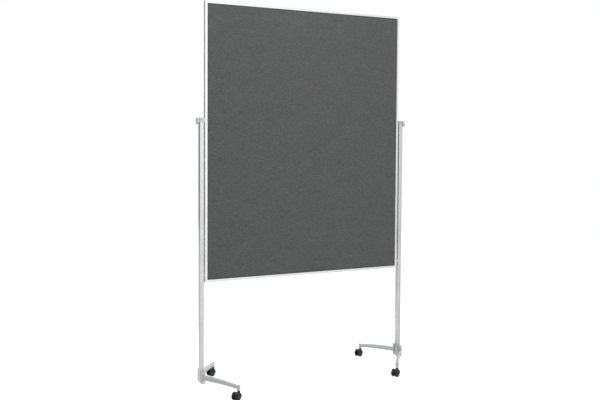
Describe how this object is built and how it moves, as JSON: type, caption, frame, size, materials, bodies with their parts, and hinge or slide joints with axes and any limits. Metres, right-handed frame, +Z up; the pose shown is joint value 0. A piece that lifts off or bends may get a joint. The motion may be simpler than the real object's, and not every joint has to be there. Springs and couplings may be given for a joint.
{
  "type": "rolling pin board and whiteboard",
  "caption": "Upright rolling presentation board: framed felt face and white writing rear, sliding on side posts with clamp knobs, V-shaped arms and swivel castors.",
  "frame": {"origin": "on the floor, midway between the two posts, under the middle plane of the board", "axes": "+X to the right along the board seen from its felt side, +Y from the felt face to the rear, +Z up"},
  "size_m": [1.285, 0.4833, 2.082],
  "materials": {
    "frame_aluminium": "satin",
    "post_aluminium": "satin",
    "cast_silver": "satin",
    "key_zinc": "satin",
    "core_board": "matte",
    "felt": "matte",
    "white_enamel": "gloss",
    "grey_plastic": "matte",
    "cap_plastic": "satin",
    "guide_metal": "satin",
    "bright_steel": "polished",
    "castor_plastic": "satin",
    "wheel_plastic": "satin"
  },
  "bodies": {
    "stand": {"arm_front_left": "cast_silver", "arm_front_right": "cast_silver", "arm_rear_left": "cast_silver", "arm_rear_right": "cast_silver", "castor_front_left_stem": "bright_steel", "castor_front_right_stem": "bright_steel", "castor_rear_left_stem": "bright_steel", "castor_rear_right_stem": "bright_steel", "clamp_washers": "bright_steel", "foot_bolts": "bright_steel", "foot_sleeve_nuts": "bright_steel", "guide_inserts": "bright_steel", "guide_screws": "bright_steel", "head_screws": "bright_steel", "lower_guide_left": "guide_metal", "lower_guide_right": "guide_metal", "post_foot_caps": "grey_plastic", "post_head_left": "cast_silver", "post_head_right": "cast_silver", "post_left": "post_aluminium", "post_right": "post_aluminium", "t_nut_left": "bright_steel", "t_nut_right": "bright_steel"},
    "board": {"frame_top": "frame_aluminium", "frame_bottom": "frame_aluminium", "frame_left": "frame_aluminium", "frame_right": "frame_aluminium", "corner_keys": "key_zinc", "panel_core": "core_board", "felt_face": "felt", "writing_sheet": "white_enamel"},
    "knob_left_body": {"knob_left": "grey_plastic", "knob_cap_left": "cap_plastic", "clamp_stud_left": "bright_steel"},
    "knob_right_body": {"knob_right": "grey_plastic", "knob_cap_right": "cap_plastic", "clamp_stud_right": "bright_steel"},
    "castor_front_left_swivel": {"castor_front_left_hood": "castor_plastic", "castor_front_left_axle": "bright_steel", "castor_front_left_brake_pin": "bright_steel"},
    "castor_front_left_wheel_a": {"castor_front_left_wheel_a": "wheel_plastic"},
    "castor_front_left_wheel_b": {"castor_front_left_wheel_b": "wheel_plastic"},
    "castor_front_left_lever": {"castor_front_left_brake_lever": "castor_plastic"},
    "castor_front_right_swivel": {"castor_front_right_hood": "castor_plastic", "castor_front_right_axle": "bright_steel", "castor_front_right_brake_pin": "bright_steel"},
    "castor_front_right_wheel_a": {"castor_front_right_wheel_a": "wheel_plastic"},
    "castor_front_right_wheel_b": {"castor_front_right_wheel_b": "wheel_plastic"},
    "castor_front_right_lever": {"castor_front_right_brake_lever": "castor_plastic"},
    "castor_rear_left_swivel": {"castor_rear_left_hood": "castor_plastic", "castor_rear_left_axle": "bright_steel"},
    "castor_rear_left_wheel_a": {"castor_rear_left_wheel_a": "wheel_plastic"},
    "castor_rear_left_wheel_b": {"castor_rear_left_wheel_b": "wheel_plastic"},
    "castor_rear_right_swivel": {"castor_rear_right_hood": "castor_plastic", "castor_rear_right_axle": "bright_steel"},
    "castor_rear_right_wheel_a": {"castor_rear_right_wheel_a": "wheel_plastic"},
    "castor_rear_right_wheel_b": {"castor_rear_right_wheel_b": "wheel_plastic"}
  },
  "joints": [
    {"name": "board_height", "type": "slide", "parent": "stand", "child": "board", "axis": [0, 0, 1], "range_m": [-0.45, 0]},
    {"name": "knob_left_turn", "type": "hinge", "parent": "stand", "child": "knob_left_body", "pos_m": [-0.62, 0, 1.446], "axis": [-1, 0, 0], "range_deg": [0, 360]},
    {"name": "knob_right_turn", "type": "hinge", "parent": "stand", "child": "knob_right_body", "pos_m": [0.62, 0, 1.446], "axis": [1, 0, 0], "range_deg": [0, 360]},
    {"name": "castor_front_left_turn", "type": "hinge", "parent": "stand", "child": "castor_front_left_swivel", "pos_m": [-0.481, -0.216, 0.035], "axis": [0, 0, 1], "continuous": true},
    {"name": "castor_front_left_roll_a", "type": "hinge", "parent": "castor_front_left_swivel", "child": "castor_front_left_wheel_a", "pos_m": [-0.49107, -0.2354, 0.02], "axis": [0.4695, -0.8829, 0], "continuous": true},
    {"name": "castor_front_left_roll_b", "type": "hinge", "parent": "castor_front_left_swivel", "child": "castor_front_left_wheel_b", "pos_m": [-0.50271, -0.2135, 0.02], "axis": [0.4695, -0.8829, 0], "continuous": true},
    {"name": "castor_front_left_brake", "type": "hinge", "parent": "castor_front_left_swivel", "child": "castor_front_left_lever", "pos_m": [-0.50761, -0.23015, 0.02882], "axis": [0.4695, -0.8829, 0], "range_deg": [0, 15]},
    {"name": "castor_front_right_turn", "type": "hinge", "parent": "stand", "child": "castor_front_right_swivel", "pos_m": [0.481, -0.216, 0.035], "axis": [0, 0, 1], "continuous": true},
    {"name": "castor_front_right_roll_a", "type": "hinge", "parent": "castor_front_right_swivel", "child": "castor_front_right_wheel_a", "pos_m": [0.47093, -0.2354, 0.02], "axis": [0.4695, -0.8829, 0], "continuous": true},
    {"name": "castor_front_right_roll_b", "type": "hinge", "parent": "castor_front_right_swivel", "child": "castor_front_right_wheel_b", "pos_m": [0.45929, -0.2135, 0.02], "axis": [0.4695, -0.8829, 0], "continuous": true},
    {"name": "castor_front_right_brake", "type": "hinge", "parent": "castor_front_right_swivel", "child": "castor_front_right_lever", "pos_m": [0.45439, -0.23015, 0.02882], "axis": [0.4695, -0.8829, 0], "range_deg": [0, 15]},
    {"name": "castor_rear_left_turn", "type": "hinge", "parent": "stand", "child": "castor_rear_left_swivel", "pos_m": [-0.481, 0.216, 0.035], "axis": [0, 0, 1], "continuous": true},
    {"name": "castor_rear_left_roll_a", "type": "hinge", "parent": "castor_rear_left_swivel", "child": "castor_rear_left_wheel_a", "pos_m": [-0.49107, 0.1966, 0.02], "axis": [0.4695, -0.8829, 0], "continuous": true},
    {"name": "castor_rear_left_roll_b", "type": "hinge", "parent": "castor_rear_left_swivel", "child": "castor_rear_left_wheel_b", "pos_m": [-0.50271, 0.2185, 0.02], "axis": [0.4695, -0.8829, 0], "continuous": true},
    {"name": "castor_rear_right_turn", "type": "hinge", "parent": "stand", "child": "castor_rear_right_swivel", "pos_m": [0.481, 0.216, 0.035], "axis": [0, 0, 1], "continuous": true},
    {"name": "castor_rear_right_roll_a", "type": "hinge", "parent": "castor_rear_right_swivel", "child": "castor_rear_right_wheel_a", "pos_m": [0.47093, 0.1966, 0.02], "axis": [0.4695, -0.8829, 0], "continuous": true},
    {"name": "castor_rear_right_roll_b", "type": "hinge", "parent": "castor_rear_right_swivel", "child": "castor_rear_right_wheel_b", "pos_m": [0.45929, 0.2185, 0.02], "axis": [0.4695, -0.8829, 0], "continuous": true}
  ]
}
